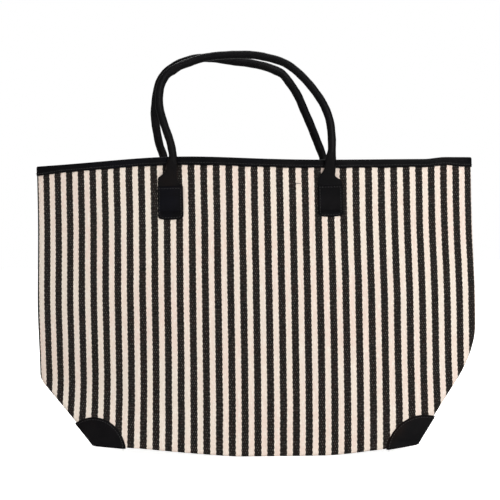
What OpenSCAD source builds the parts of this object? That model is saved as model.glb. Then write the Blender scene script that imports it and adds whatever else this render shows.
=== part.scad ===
// Striped canvas tote bag with a boxed base, leather binding, corner guards and two rolled handles.
// Front is towards -Y. The origin is on the floor under the middle of the base.

/* [Bag] */
// Half of the bag's width at the rim
rim_half = 280; // [260:1:300]
// Height of the rim above the floor, before its soft arch
rim_height = 362; // [340:1:390]
// Half of the mouth's depth at the middle of the rim
rim_depth = 38; // [34:1:44]
// Half of the base's length
base_half = 198; // [180:1:215]
// Depth of the base from front to back
base_depth = 150; // [130:2:160]
// How far the base's long edges bow out in the middle
base_bulge = 8; // [4:0.5:12]
// How far the left end of the base lifts off the floor
lift_left = 16; // [10:0.1:18]
// How far its right end lifts
lift_right = 13.7; // [10:0.1:18]
// How much of the base lies flat on the floor, left of the middle
flat_left = 20; // [10:1:100]
// How much of it lies flat right of the middle
flat_right = 85; // [10:1:100]
// Height of the left knee, where the boxed side closes to a seam
knee_left = 75; // [65:1:110]
// Height of the right knee
knee_right = 104; // [65:1:110]
// Softness of the left knee, as a share of its height
knee_soft_left = 0.1; // [0.05:0.01:0.5]
// Softness of the right knee, as a share of its height
knee_soft_right = 0.35; // [0.05:0.01:0.5]
// Half of the pinched side's thickness
side_half = 4.5; // [4.2:0.1:6]

/* [Rim] */
// How much lower the right end of the rim lies than the left
rim_tilt = 2.2; // [0:0.1:4]
// Height of the soft arch in the front rim
front_arch = 8; // [0:0.5:10]
// Height of the soft arch in the back rim
back_arch = 4; // [0:0.5:8]
// Middle of the soft arch, along X
arch_x = -95; // [-120:5:0]
// Width of the soft arch
arch_width = 120; // [90:5:160]
// Height of the binding's two leaves
binding_height = 10; // [8:0.5:14]

/* [Cloth and leather] */
// Thickness of the canvas
canvas = 1.6; // [1:0.1:1.8]
// Thickness of the lining
lining = 0.5; // [0.4:0.1:0.6]
// Thickness of the leather trim
leather = 1.2; // [1:0.1:1.4]
// Thickness of the stiffener in the base
stiffener = 1.5; // [1:0.1:2]
// Space between layers that lie on each other
layer_gap = 0.2; // [0.15:0.01:0.25]

/* [Handles] */
// Radius of the rolled handle
roll_radius = 5; // [4.5:0.1:5.2]
// Radius of the filler cord inside the roll
filler_radius = 3.4; // [3:0.1:3.5]
// Half of the width of the flattened handle end
tab_half = 14; // [12:0.5:15]
// Thickness of the flattened handle end
tab_thick = 2; // [1.6:0.1:2.2]
// Height of the fold where a handle swings
fold_height = 337; // [336:0.5:338]
// Half of the width of a handle patch
patch_half = 15.5; // [14:0.5:16]
// Height of a handle patch
patch_height = 40; // [36:1:44]

/* [Corner guards] */
// Radius of the leather guard on each base corner
guard_radius = 36; // [30:1:42]

/* [Hidden] */

front = -1;
back = 1;
wall_cells = 22;      // cells across a wall, corner to corner
side_cells = 3;       // cells from a corner ridge to the side seam
wall_rows = 14;       // cells up a wall
wall_rise = 350;      // nominal height that the wall's shape is worked out over
wall_fall = 75;       // height over which the wall draws in from the base
end_rise = 2.4;       // how far the rim's right end stands above the rest of it
end_rise_x = 218; // [200:1:240]
end_rise_run = 28; // [10:1:40]
seam_gap = 0.15;      // half of the gap between the panels at a side seam
seam_u = 2;           // wall position of the side seam, where 1 is the corner ridge
lining_depth = canvas + layer_gap;
lining_inner = lining_depth + lining;
backing_depth = lining_inner + layer_gap + 0.1;
tab_offset = 0.3;
patch_offset = tab_offset + tab_thick + layer_gap;
trim_top = canvas + 0.1;   // the canvas stops this far below the top of the binding
patch_tops = [333, 329.5];
tab_drop = 34;             // how far a tab reaches down under its patch
fold_clear = 0.4;          // room between a handle's end and its tab
guard_gap = 0.6;           // room between a corner guard and the folded canvas
roll_sides = 10;
filler_sides = 8;
roll_leather = 1.3;
flare_height = 25;         // height over which a handle end flattens

// Routes of the two handles from fold to fold
front_route = [
    [-99, -40.2, 337], [-98, -41.5, 345], [-97, -43.5, 355], [-96, -44, 366], [-97, -43.5, 376],
    [-100, -41, 390], [-106, -37, 407], [-111, -33, 423], [-114, -30, 438], [-113, -25, 458],
    [-106, -21, 474], [-93, -19, 484], [-75, -17, 491], [-54, -16, 497], [-27, -16, 499],
    [1, -16, 498], [21, -16, 494], [42, -18, 487], [57, -20, 477], [72, -24, 462],
    [85, -28, 445], [94, -32, 429], [100, -36, 411], [102, -40, 392], [102, -43.5, 376],
    [101, -44, 366], [100, -43.5, 355], [99, -41.5, 345], [99, -40.2, 337],
];
back_route = [
    [-108, 40.2, 337], [-111, 41.5, 345], [-114, 43.5, 355], [-117, 44, 368], [-120, 43, 380],
    [-124, 40, 393], [-127, 35, 414], [-128, 31, 430], [-126, 27, 447], [-122, 23, 465],
    [-115, 20, 479], [-102, 18, 490], [-86, 16, 497], [-67, 16, 501], [-46, 16, 500],
    [-24, 16, 497], [0, 17, 494], [22, 18, 489], [40, 20, 482], [50, 22, 470],
    [60, 27, 451], [68, 31, 432], [76, 35, 413], [84, 40, 392], [90, 43, 376],
    [93, 44, 366], [94, 43.5, 355], [95, 41.5, 345], [96, 40.2, 337],
];

function unit(v) = v / norm(v);
function mix(a, b, t) = a + (b - a) * t;
function clamp01(t) = min(1, max(0, t));

// --- Shape of the walls: s runs -1 to 1 across a wall, h is the height up it ---

function base_z(x) = x < 0 ?
    lift_left * pow(max(0, (-x - flat_left) / (base_half - flat_left)), 1.15) :
    lift_right * pow(max(0, (x - flat_right) / (base_half - flat_right)), 1.5);

function rim_z(x, side) =
    let (arch = side == front ? front_arch : back_arch, t = clamp01((x - end_rise_x) / end_rise_run))
    rim_height - rim_tilt / 2 * x / rim_half + arch * exp(-pow((x - arch_x) / arch_width, 2))
    + end_rise * t * t * (3 - 2 * t);

// How far a corner ridge has run from the base corner to the side seam: 0 at the base, 1 above the knee
function spread(h, s) =
    let (t = h / (s < 0 ? knee_left : knee_right),
         soft = s < 0 ? knee_soft_left : knee_soft_right)
    min(1, t) - pow(max(0, soft - abs(t - 1)), 2) / (4 * soft);

function ridge_x(h, s) = mix(base_half, rim_half, spread(h, s));

function ridge_y(h, s) = mix(base_depth / 2, side_half, spread(h, s));

function middle_y(h) = rim_depth + (base_depth / 2 + base_bulge - rim_depth) * exp(-h / wall_fall);

function bow(s, h) = 1 - pow(abs(s), 2.6 + 0.8 * min(1, h / 200));

function wall_y(s, h) = mix(ridge_y(h, s), middle_y(h), bow(s, h));

function wall_z(s, h, side) =
    mix(base_z(base_half * s), rim_z(rim_half * s, side), h / wall_rise);

// A point on the outside of a wall. Past 1, u runs round the corner ridge to the side seam at 2.
function wall_point(u, h, side) =
    let (s = max(-1, min(1, u)), past = max(0, abs(u) - 1))
    [ridge_x(h, s) * s,
     side * mix(wall_y(s, h), seam_gap, past),
     wall_z(s, h, side)];

function wall_out(u, h, side) =
    let (e = 0.02,
         a = wall_point(max(-seam_u, u - e), h, side),
         b = wall_point(min(seam_u, u + e), h, side),
         along = unit([b[0] - a[0], b[1] - a[1]]))
    [-side * along[1], side * along[0], 0];

// A point of the same wall made smaller all round, so that inner layers never cross at the narrow sides
function inner_point(u, h, side, inset) =
    let (s = max(-1, min(1, u)), past = max(0, abs(u) - 1))
    [(ridge_x(h, s) - inset) * s,
     side * mix(wall_y(s, h) - inset, seam_gap, past),
     wall_z(s, h, side)];

// The same point moved out of the wall by the given distance
function skin_point(u, h, side, out) =
    out < -canvas - 0.01
        ? inner_point(u, h, side, -out)
        : wall_point(u, h, side) + out * wall_out(u, h, side);

function wall_steps() = concat(
    [for (i = [side_cells:-1:1]) -1 - i / side_cells],
    [for (i = [0:wall_cells]) -1 + 2 * i / wall_cells],
    [for (i = [1:side_cells]) 1 + i / side_cells]);

// Depth of a wall at a given place in the XZ plane
function wall_depth(x, z) =
    let (h = (z - base_z(x)) / (rim_height - base_z(x)) * wall_rise)
    wall_y(x / ridge_x(h, x), h);

// --- Closed solids from grids of points ---

function grid_faces(across, up, count) =
    let (w = up + 1)
    concat(
        [for (i = [0:across - 1], j = [0:up - 1])
            [i * w + j, i * w + j + 1, (i + 1) * w + j + 1, (i + 1) * w + j]],
        [for (i = [0:across - 1], j = [0:up - 1])
            [count + i * w + j, count + (i + 1) * w + j,
             count + (i + 1) * w + j + 1, count + i * w + j + 1]],
        [for (i = [0:across - 1])
            [i * w, (i + 1) * w, count + (i + 1) * w, count + i * w]],
        [for (i = [0:across - 1])
            [i * w + up, count + i * w + up, count + (i + 1) * w + up, (i + 1) * w + up]],
        [for (j = [0:up - 1])
            [j, count + j, count + j + 1, j + 1]],
        [for (j = [0:up - 1])
            [across * w + j, across * w + j + 1, count + across * w + j + 1, count + across * w + j]]);

function triangles(faces) = [for (f = faces) each [[f[0], f[1], f[2]], [f[0], f[2], f[3]]]];

function flipped(faces, flip) = flip ? [for (f = faces) [f[2], f[1], f[0]]] : faces;

// A plate between two grids, outer first; each grid is a list of columns
module plate(outer, inner, flip) {
    across = len(outer) - 1;
    up = len(outer[0]) - 1;
    count = (across + 1) * (up + 1);
    polyhedron(
        points = concat([for (c = outer) each c], [for (c = inner) each c]),
        faces = flipped(triangles(grid_faces(across, up, count)), flip),
        convexity = 8);
}

// --- Cloth layers ---

module wall_layer(side, out_a, out_b) {
    top = wall_rise * (1 - trim_top / rim_height);
    plate(
        [for (u = wall_steps()) [for (j = [0:wall_rows]) skin_point(u, top * j / wall_rows, side, out_a)]],
        [for (u = wall_steps()) [for (j = [0:wall_rows]) skin_point(u, top * j / wall_rows, side, out_b)]],
        side == front);
}

module base_layer(inset, low, high) {
    function edge(s) = base_depth / 2 + base_bulge * bow(s, 0) - inset;
    function spot(i, j, up) =
        let (s = -1 + i / 8, x = (base_half - inset) * s)
        [x, edge(s) * (-1 + j / 2), base_z(x) + up];
    plate(
        [for (i = [0:16]) [for (j = [0:4]) spot(i, j, low)]],
        [for (i = [0:16]) [for (j = [0:4]) spot(i, j, high)]],
        true);
}

module front_panel() {
    color("linen") wall_layer(front, 0, -canvas);
}

module back_panel() {
    color("linen") wall_layer(back, 0, -canvas);
}

module base_panel() {
    color("linen") base_layer(3.6, 0, canvas);
}

module front_lining() {
    color("wheat") wall_layer(front, -lining_depth, -lining_inner);
}

module back_lining() {
    color("wheat") wall_layer(back, -lining_depth, -lining_inner);
}

module base_stiffener() {
    color("dimgray") base_layer(5, lining_depth, lining_depth + stiffener);
}

module base_lining() {
    low = lining_depth + stiffener + layer_gap;
    color("wheat") base_layer(5.5, low, low + lining);
}

// --- Binding folded over the rim, once round the mouth ---

module rim_binding() {
    outside = layer_gap + leather;
    inside = lining_inner + layer_gap + leather;
    leaf = wall_rise * (1 - binding_height / rim_height);
    steps = [for (u = wall_steps()) if (abs(u) < seam_u) u];
    stations = concat(
        [for (u = steps) [u, front]],
        [[seam_u, front]],
        [for (i = [len(steps) - 1:-1:0]) [steps[i], back]],
        [[-seam_u, back]]);
    function section(u, side) = [
        skin_point(u, leaf, side, outside),
        skin_point(u, wall_rise, side, outside),
        skin_point(u, wall_rise, side, -inside),
        skin_point(u, leaf, side, -inside),
        skin_point(u, leaf, side, -inside + leather),
        skin_point(u, wall_rise, side, -inside + leather) - [0, 0, leather],
        skin_point(u, wall_rise, side, layer_gap) - [0, 0, leather],
        skin_point(u, leaf, side, layer_gap),
    ];
    n = len(stations);
    color("black") polyhedron(
        points = [for (s = stations) each section(s[0], s[1])],
        faces = flipped(triangles([for (i = [0:n - 1], k = [0:7])
            let (m = (i + 1) % n, l = (k + 1) % 8)
            [i * 8 + k, i * 8 + l, m * 8 + l, m * 8 + k]]), true),
        convexity = 8);
}

// --- Leather guards on the base corners: three quarters of a disc round each corner ---

guard_steps = 24;    // steps round a guard, eight on each of its three faces
guard_rings = 4;

// How much shorter a guard is between two of its creases than along them
function guard_outline(t) = 0.92 + 0.13 * pow(2 * t - 1, 2);

// A point on the left or right (hand -1 or 1), front or back (side) guard, at radius r and step i.
// The steps run up the wall to the ridge, down the boxed side, then under the base.
function guard_point(hand, side, r, i, out) =
    let (third = guard_steps / 3,
         face = min(2, ceil(i / third) - 1),
         t = i / third - max(0, face),
         reach = r * guard_outline(t),
         spot = face <= 0 ? guard_on_wall(hand, side, reach, t)
              : face == 1 ? guard_on_side(hand, side, reach, t)
              : guard_on_base(hand, side, reach, t))
    spot + out * guard_out(hand, side, r, i);

function ridge_lean(hand) = atan((rim_half - base_half) / (hand < 0 ? knee_left : knee_right));

function guard_on_wall(hand, side, reach, t) =
    let (angle = t * (90 + ridge_lean(hand)),
         x = base_half - reach * cos(angle),
         h = reach * sin(angle),
         s = hand * min(1, x / ridge_x(h, hand)))
    [hand * x, side * wall_y(s, h), wall_z(s, h, side)];

function guard_on_side(hand, side, reach, t) =
    let (up = reach * cos(ridge_lean(hand)),
         across = up * (base_depth / 2 - side_half) / (hand < 0 ? knee_left : knee_right),
         angle = atan2(up, across) * (1 - t),
         r = mix(norm([up, across]), reach, t),
         h = r * sin(angle))
    [hand * ridge_x(h, hand), side * (base_depth / 2 - r * cos(angle)), wall_z(hand, h, side)];

function guard_on_base(hand, side, reach, t) =
    let (x = base_half - reach * sin(90 * t))
    [hand * x, side * (base_depth / 2 + base_bulge * bow(x / base_half, 0) - reach * cos(90 * t)), base_z(hand * x)];

function guard_out(hand, side, r, i) =
    let (third = guard_steps / 3)
    r == 0 ? [hand, side, -1]
    : i == 0 ? [0, side, -1]
    : i < third ? [0, side, 0]
    : i == third ? [hand, side, 0]
    : i < 2 * third ? [hand, 0, 0]
    : i == 2 * third ? [hand, 0, -1]
    : [0, 0, -1];

module corner_guard(hand, side) {
    n = guard_steps;
    layer = 1 + n * guard_rings;
    function ring(i, j) = 1 + (j - 1) * n + i % n;
    function shell(out) = concat(
        [guard_point(hand, side, 0, 0, out)],
        [for (j = [1:guard_rings], i = [0:n - 1])
            guard_point(hand, side, guard_radius * j / guard_rings, i, out)]);
    fan = [for (i = [0:n - 1]) [0, ring(i, 1), ring(i + 1, 1)]];
    bands = triangles([for (j = [1:guard_rings - 1], i = [0:n - 1])
        [ring(i, j), ring(i, j + 1), ring(i + 1, j + 1), ring(i + 1, j)]]);
    edge = triangles([for (i = [0:n - 1])
        [ring(i, guard_rings), layer + ring(i, guard_rings),
         layer + ring(i + 1, guard_rings), ring(i + 1, guard_rings)]]);
    outer = concat(fan, bands);
    inner = [for (f = outer) [layer + f[2], layer + f[1], layer + f[0]]];
    color("black") polyhedron(
        points = concat(shell(guard_gap + leather), shell(guard_gap)),
        faces = flipped(concat(outer, inner, edge), hand * side > 0),
        convexity = 6);
}

module corner_guard_front_left() {
    corner_guard(-1, front);
}

module corner_guard_front_right() {
    corner_guard(1, front);
}

module corner_guard_back_left() {
    corner_guard(-1, back);
}

module corner_guard_back_right() {
    corner_guard(1, back);
}

// --- Rolled handles ---

// Catmull-Rom curve through the route, with one extra point in each stretch
function smooth_route(r) =
    let (n = len(r))
    [for (i = [0:n - 2]) each
        let (a = r[max(0, i - 1)], b = r[i], c = r[i + 1], d = r[min(n - 1, i + 2)])
        [b, (9 * (b + c) - a - d) / 16],
     r[n - 1]];

function flatness(z) = clamp01((fold_height + flare_height - z) / flare_height);

function ring_points(path, i, wide, thick, sides) =
    let (n = len(path),
         way = path[min(n - 1, i + 1)] - path[max(0, i - 1)],
         t = path[i][2] > fold_height ? unit(way) : [0, 0, sign(way[2])],   // ends are cut level
         b = unit(cross(t, [0, 1, 0])),
         up = cross(b, t))
    [for (k = [0:sides - 1])
        path[i] + b * wide * cos(360 * k / sides) + up * thick * sin(360 * k / sides)];

function roll_wide(z, skin) = mix(roll_radius, tab_half, pow(flatness(z), 1.3)) - skin;

function roll_thick(z, skin) = mix(roll_radius, tab_thick, flatness(z)) - skin;

module handle_cover(route) {
    path = smooth_route(route);
    n = len(path);
    k = roll_sides;
    function ring_at(i, skin) =
        ring_points(path, i, roll_wide(path[i][2], skin), roll_thick(path[i][2], skin), k);
    inner = n * k;
    outside = [for (i = [0:n - 2], j = [0:k - 1])
        [i * k + j, i * k + (j + 1) % k, (i + 1) * k + (j + 1) % k, (i + 1) * k + j]];
    inside = [for (f = outside) [inner + f[0], inner + f[3], inner + f[2], inner + f[1]]];
    start = [for (j = [0:k - 1]) [j, inner + j, inner + (j + 1) % k, (j + 1) % k]];
    last = (n - 1) * k;
    end = [for (j = [0:k - 1])
        [last + j, last + (j + 1) % k, inner + last + (j + 1) % k, inner + last + j]];
    color([0.08, 0.08, 0.09]) polyhedron(
        points = concat([for (i = [0:n - 1]) each ring_at(i, 0)],
                        [for (i = [0:n - 1]) each ring_at(i, roll_leather)]),
        faces = triangles(concat(outside, inside, start, end)),
        convexity = 10);
}

module handle_filler(route) {
    path = [for (q = smooth_route(route)) if (q[2] > fold_height + flare_height) q];
    n = len(path);
    k = filler_sides;
    color("tan") polyhedron(
        points = [for (i = [0:n - 1]) each ring_points(path, i, filler_radius, filler_radius, k)],
        faces = concat(
            triangles([for (i = [0:n - 2], j = [0:k - 1])
                [i * k + j, i * k + (j + 1) % k, (i + 1) * k + (j + 1) % k, (i + 1) * k + j]]),
            [for (j = [1:k - 2]) [0, j + 1, j]],
            [for (j = [1:k - 2]) [(n - 1) * k, (n - 1) * k + j, (n - 1) * k + j + 1]]),
        convexity = 10);
}

// A flat piece that follows the wall, from out_a to out_b off its outside
module wall_plate(side, x, half, low, high, out_a, out_b) {
    function spot(i, j, out) =
        let (px = x + half * (-1 + i / 2), pz = mix(low, high, j / 3))
        [px, side * (wall_depth(px, pz) + out), pz];
    plate(
        [for (i = [0:4]) [for (j = [0:3]) spot(i, j, out_b)]],
        [for (i = [0:4]) [for (j = [0:3]) spot(i, j, out_a)]],
        side == front);
}

function foot_x(route, hand) = (hand < 0 ? route[0] : route[len(route) - 1])[0];

function patch_top(hand) = patch_tops[hand < 0 ? 0 : 1];

module handle_tab(side, route, hand) {
    color([0.08, 0.08, 0.09])
        wall_plate(side, foot_x(route, hand), tab_half - 0.5, patch_top(hand) - tab_drop,
                   fold_height - fold_clear, tab_offset, tab_offset + tab_thick);
}

module handle_patch(side, route, hand) {
    top = patch_top(hand);
    color("black")
        wall_plate(side, foot_x(route, hand), patch_half, top - patch_height, top,
                   patch_offset, patch_offset + leather);
}

module handle_backing(side, route, hand) {
    top = patch_top(hand);
    color("saddlebrown")
        wall_plate(side, foot_x(route, hand), patch_half, top - patch_height, top,
                   -backing_depth - leather, -backing_depth);
}

module front_handle_cover() {
    handle_cover(front_route);
}

module front_handle_filler() {
    handle_filler(front_route);
}

module front_handle_tab_left() {
    handle_tab(front, front_route, -1);
}

module front_handle_tab_right() {
    handle_tab(front, front_route, 1);
}

module front_handle_patch_left() {
    handle_patch(front, front_route, -1);
}

module front_handle_patch_right() {
    handle_patch(front, front_route, 1);
}

module front_handle_backing_left() {
    handle_backing(front, front_route, -1);
}

module front_handle_backing_right() {
    handle_backing(front, front_route, 1);
}

module back_handle_cover() {
    handle_cover(back_route);
}

module back_handle_filler() {
    handle_filler(back_route);
}

module back_handle_tab_left() {
    handle_tab(back, back_route, -1);
}

module back_handle_tab_right() {
    handle_tab(back, back_route, 1);
}

module back_handle_patch_left() {
    handle_patch(back, back_route, -1);
}

module back_handle_patch_right() {
    handle_patch(back, back_route, 1);
}

module back_handle_backing_left() {
    handle_backing(back, back_route, -1);
}

module back_handle_backing_right() {
    handle_backing(back, back_route, 1);
}

front_panel();
back_panel();
base_panel();
front_lining();
back_lining();
base_lining();
base_stiffener();
rim_binding();
corner_guard_front_left();
corner_guard_front_right();
corner_guard_back_left();
corner_guard_back_right();
front_handle_cover();
front_handle_filler();
front_handle_tab_left();
front_handle_tab_right();
front_handle_patch_left();
front_handle_patch_right();
front_handle_backing_left();
front_handle_backing_right();
back_handle_cover();
back_handle_filler();
back_handle_tab_left();
back_handle_tab_right();
back_handle_patch_left();
back_handle_patch_right();
back_handle_backing_left();
back_handle_backing_right();
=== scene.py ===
import math
import bpy
import bmesh
import numpy as np
from mathutils import Matrix, Vector


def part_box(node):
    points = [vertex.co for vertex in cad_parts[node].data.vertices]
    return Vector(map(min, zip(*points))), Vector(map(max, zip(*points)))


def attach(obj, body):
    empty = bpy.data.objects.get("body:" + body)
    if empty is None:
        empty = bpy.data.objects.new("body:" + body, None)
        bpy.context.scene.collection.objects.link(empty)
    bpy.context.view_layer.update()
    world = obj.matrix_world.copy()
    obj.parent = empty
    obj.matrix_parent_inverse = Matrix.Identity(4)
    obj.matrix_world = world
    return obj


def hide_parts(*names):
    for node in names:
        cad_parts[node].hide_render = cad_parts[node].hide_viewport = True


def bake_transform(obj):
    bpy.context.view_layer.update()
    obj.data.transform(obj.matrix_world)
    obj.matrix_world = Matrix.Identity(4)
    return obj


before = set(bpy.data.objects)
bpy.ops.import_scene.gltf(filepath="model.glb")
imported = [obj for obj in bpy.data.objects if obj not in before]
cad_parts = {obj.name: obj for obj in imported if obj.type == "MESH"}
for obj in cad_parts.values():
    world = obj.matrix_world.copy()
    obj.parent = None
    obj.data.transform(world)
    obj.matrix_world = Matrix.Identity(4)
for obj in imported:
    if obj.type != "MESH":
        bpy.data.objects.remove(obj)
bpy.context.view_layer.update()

mm = 0.001
front, back = -1, 1


cameraSet = {
    "azimuth": 3.0,        # degrees round from straight in front
    "elevation": 0.76,
    "roll": -1.12,         # the bag stands a little askew in the view
    "distance": 1.5,
    "lens": 84.1,
    "aim": (-4.5 * mm, 0.0, 250.9 * mm),
}


def addCamera():
    azimuth, elevation, roll = (math.radians(cameraSet[k]) for k in ("azimuth", "elevation", "roll"))
    away = Vector((math.sin(azimuth) * math.cos(elevation),
                   -math.cos(azimuth) * math.cos(elevation),
                   math.sin(elevation)))
    right = (-away).cross(Vector((0, 0, 1))).normalized()
    up = right.cross(-away)
    rolledRight = right * math.cos(roll) + up * math.sin(roll)
    rolledUp = up * math.cos(roll) - right * math.sin(roll)
    data = bpy.data.cameras.new("camera")
    data.lens = cameraSet["lens"]
    data.sensor_width = 36
    camera = bpy.data.objects.new("camera", data)
    bpy.context.scene.collection.objects.link(camera)
    place = Matrix((rolledRight, rolledUp, away)).transposed().to_4x4()
    place.translation = Vector(cameraSet["aim"]) + away * cameraSet["distance"]
    camera.matrix_world = place
    bpy.context.scene.camera = camera


studio = {
    "floorRadius": 9.0,
    "floorColour": (0.90, 0.90, 0.89),
    "floorGlow": 0.95,          # lifts the floor to the same white as the background
    "ambient": 0.22,
    "key": {"at": (1.3, -1.9, 1.5), "size": 1.4, "watts": 49},
    "fill": {"at": (-1.6, -2.1, 1.1), "size": 1.7, "watts": 14.5},
    "rim": {"at": (0.2, 1.9, 1.9), "size": 1.8, "watts": 36},
    "top": {"at": (0.0, -0.3, 2.3), "size": 1.4, "watts": 12},
}


def addLight(name):
    spec = studio[name]
    data = bpy.data.lights.new(name + "Light", "AREA")
    data.size = spec["size"]
    data.energy = spec["watts"]
    light = bpy.data.objects.new(name + "Light", data)
    bpy.context.scene.collection.objects.link(light)
    light.location = spec["at"]
    toBag = Vector((0, 0, 0.22)) - light.location
    light.rotation_mode = "QUATERNION"
    light.rotation_quaternion = toBag.to_track_quat("-Z", "Y")


def addStage():
    mesh = bpy.data.meshes.new("floor")
    sides = 64
    ring = [(studio["floorRadius"] * math.cos(math.tau * i / sides),
             studio["floorRadius"] * math.sin(math.tau * i / sides), -0.4 * mm) for i in range(sides)]
    mesh.from_pydata(ring, [], [list(range(sides))])
    floor = bpy.data.objects.new("floor", mesh)
    bpy.context.scene.collection.objects.link(floor)
    material = bpy.data.materials.new("floorWhite")
    material.use_nodes = True
    shader = material.node_tree.nodes["Principled BSDF"]
    shader.inputs["Base Color"].default_value = (*studio["floorColour"], 1)
    shader.inputs["Roughness"].default_value = 0.9
    shader.inputs["Emission Color"].default_value = (1, 1, 1, 1)
    floorNodes, floorLinks = material.node_tree.nodes, material.node_tree.links
    seenFloor = floorNodes.new("ShaderNodeLightPath")
    glow = floorNodes.new("ShaderNodeMath")
    glow.operation = "MULTIPLY"
    glow.inputs[1].default_value = studio["floorGlow"]
    floorLinks.new(seenFloor.outputs["Is Camera Ray"], glow.inputs[0])
    floorLinks.new(glow.outputs[0], shader.inputs["Emission Strength"])
    mesh.materials.append(material)
    for name in ("key", "fill", "rim", "top"):
        addLight(name)
    world = bpy.data.worlds.new("studioWorld")
    world.use_nodes = True
    bpy.context.scene.world = world
    nodes, links = world.node_tree.nodes, world.node_tree.links
    lit = nodes["Background"]
    lit.inputs["Color"].default_value = (1, 1, 1, 1)
    lit.inputs["Strength"].default_value = studio["ambient"]
    seen = nodes.new("ShaderNodeBackground")
    seen.inputs["Color"].default_value = (1, 1, 1, 1)
    seen.inputs["Strength"].default_value = 1.0
    path = nodes.new("ShaderNodeLightPath")
    mix = nodes.new("ShaderNodeMixShader")
    links.new(path.outputs["Is Camera Ray"], mix.inputs[0])
    links.new(lit.outputs[0], mix.inputs[1])
    links.new(seen.outputs[0], mix.inputs[2])
    links.new(mix.outputs[0], nodes["World Output"].inputs["Surface"])
    bpy.context.scene.view_settings.view_transform = "Standard"
    bpy.context.scene.view_settings.look = "None"


addCamera()
addStage()
print("camera, floor and light are in place")


panelLow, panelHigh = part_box("front_panel")

bag = {
    "rimHalf": panelHigh[0],
    "rimDepth": 38 * mm,
    "rimHeight": 362 * mm,
    "baseHalf": 198 * mm,
    "baseDepth": 150 * mm,
    "baseBulge": -panelLow[1] - 75 * mm,
    "lift": {-1: 16 * mm, 1: 13.7 * mm},       # how far each end of the base stands off the floor
    "flat": {-1: 20 * mm, 1: 85 * mm},         # how far the base lies flat on each side of the middle
    "curl": {-1: 1.15, 1: 1.5},                # power of the curve that lifts each end
    "knee": {-1: 73 * mm, 1: 104 * mm},        # height where the sides stop spreading
    "kneeSoft": {-1: 0.1, 1: 0.35},            # how round each knee is, as a share of its height
    "sideHalf": 4.5 * mm,       # half the depth of the boxed side above its knee
    "sideBow": 1.5 * mm,        # the sides bow out a little above the knees
    "bowAt": 160 * mm,
    "bowReach": 48 * mm,
    "rimDrawn": 1.4 * mm,       # and the binding draws them in again at the rim
    "drawnOver": (195 * mm, 300 * mm),
    "rimTilt": 2.2 * mm,        # drop of the rim from left to right, before its right end rises
    "arch": {front: 8 * mm, back: 4 * mm},
    "archAt": -95 * mm,
    "archWidth": 120 * mm,
    "rise": 350 * mm,           # nominal height that a wall is worked out over
    "fall": 75 * mm,            # height over which a wall draws in from the base
    "fold": 5 * mm,             # radius of the soft fold between wall and base
    "cornerSharp": 6,           # how much tighter that fold is under the corner guards
    "sharpOver": (135 * mm, 165 * mm),
    "crown": 2.6,               # power of the curve of the base's long edges
    "crownMore": 0.8,           # what the walls add to that power over the height crownOver
    "crownOver": 200 * mm,
    "creaseSoft": 2.4 * mm,     # rounding of the corner ridges and side seams
    "seamPinch": 0.9 * mm,      # how far a side seam draws in
    "pinchWidth": 2 * mm,
    "endRise": 2.4 * mm,        # the rim's right end stands a little above the rest
    "endRiseAt": (218 * mm, 246 * mm),
}


def mixed(a, b, t):
    return a + (b - a) * t


def smoothStep(value, low, high):
    t = np.clip((value - low) / (high - low), 0, 1)
    return t * t * (3 - 2 * t)


def baseZ(x):
    ends = []
    for hand in (-1, 1):
        along = (hand * x - bag["flat"][hand]) / (bag["baseHalf"] - bag["flat"][hand])
        ends.append(bag["lift"][hand] * np.maximum(0, along) ** bag["curl"][hand])
    return ends[0] + ends[1]


def rimZ(x, side):
    bump = bag["arch"][side] * np.exp(-((x - bag["archAt"]) / bag["archWidth"]) ** 2)
    rise = bag["endRise"] * smoothStep(x, *bag["endRiseAt"])
    return bag["rimHeight"] - bag["rimTilt"] / 2 * x / bag["rimHalf"] + bump + rise


def spread(h, hand):
    t = h / bag["knee"][hand]
    soft = bag["kneeSoft"][hand]
    return np.minimum(1, t) - np.maximum(0, soft - np.abs(t - 1)) ** 2 / (4 * soft)


def ridgeX(h, hand):
    bow = bag["sideBow"] * np.exp(-((h - bag["bowAt"]) / bag["bowReach"]) ** 2)
    drawn = bag["rimDrawn"] * smoothStep(h, *bag["drawnOver"])
    return mixed(bag["baseHalf"], bag["rimHalf"], spread(h, hand)) + bow - drawn


def ridgeY(h, hand):
    return mixed(bag["baseDepth"] / 2, bag["sideHalf"], spread(h, hand))


def wallY(s, h, hand):
    foot = bag["baseDepth"] / 2 + bag["baseBulge"]
    middle = bag["rimDepth"] + (foot - bag["rimDepth"]) * np.exp(-h / bag["fall"])
    power = bag["crown"] + bag["crownMore"] * np.minimum(1, h / bag["crownOver"])
    return mixed(ridgeY(h, hand), middle, 1 - np.abs(s) ** power)


def wallZ(s, h, side):
    return mixed(baseZ(bag["baseHalf"] * s), rimZ(bag["rimHalf"] * s, side), h / bag["rise"])


sectionPoints = 240       # across half a wall, before they are spaced evenly
boxedPoints = 60          # from the corner ridge to the side seam


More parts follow.
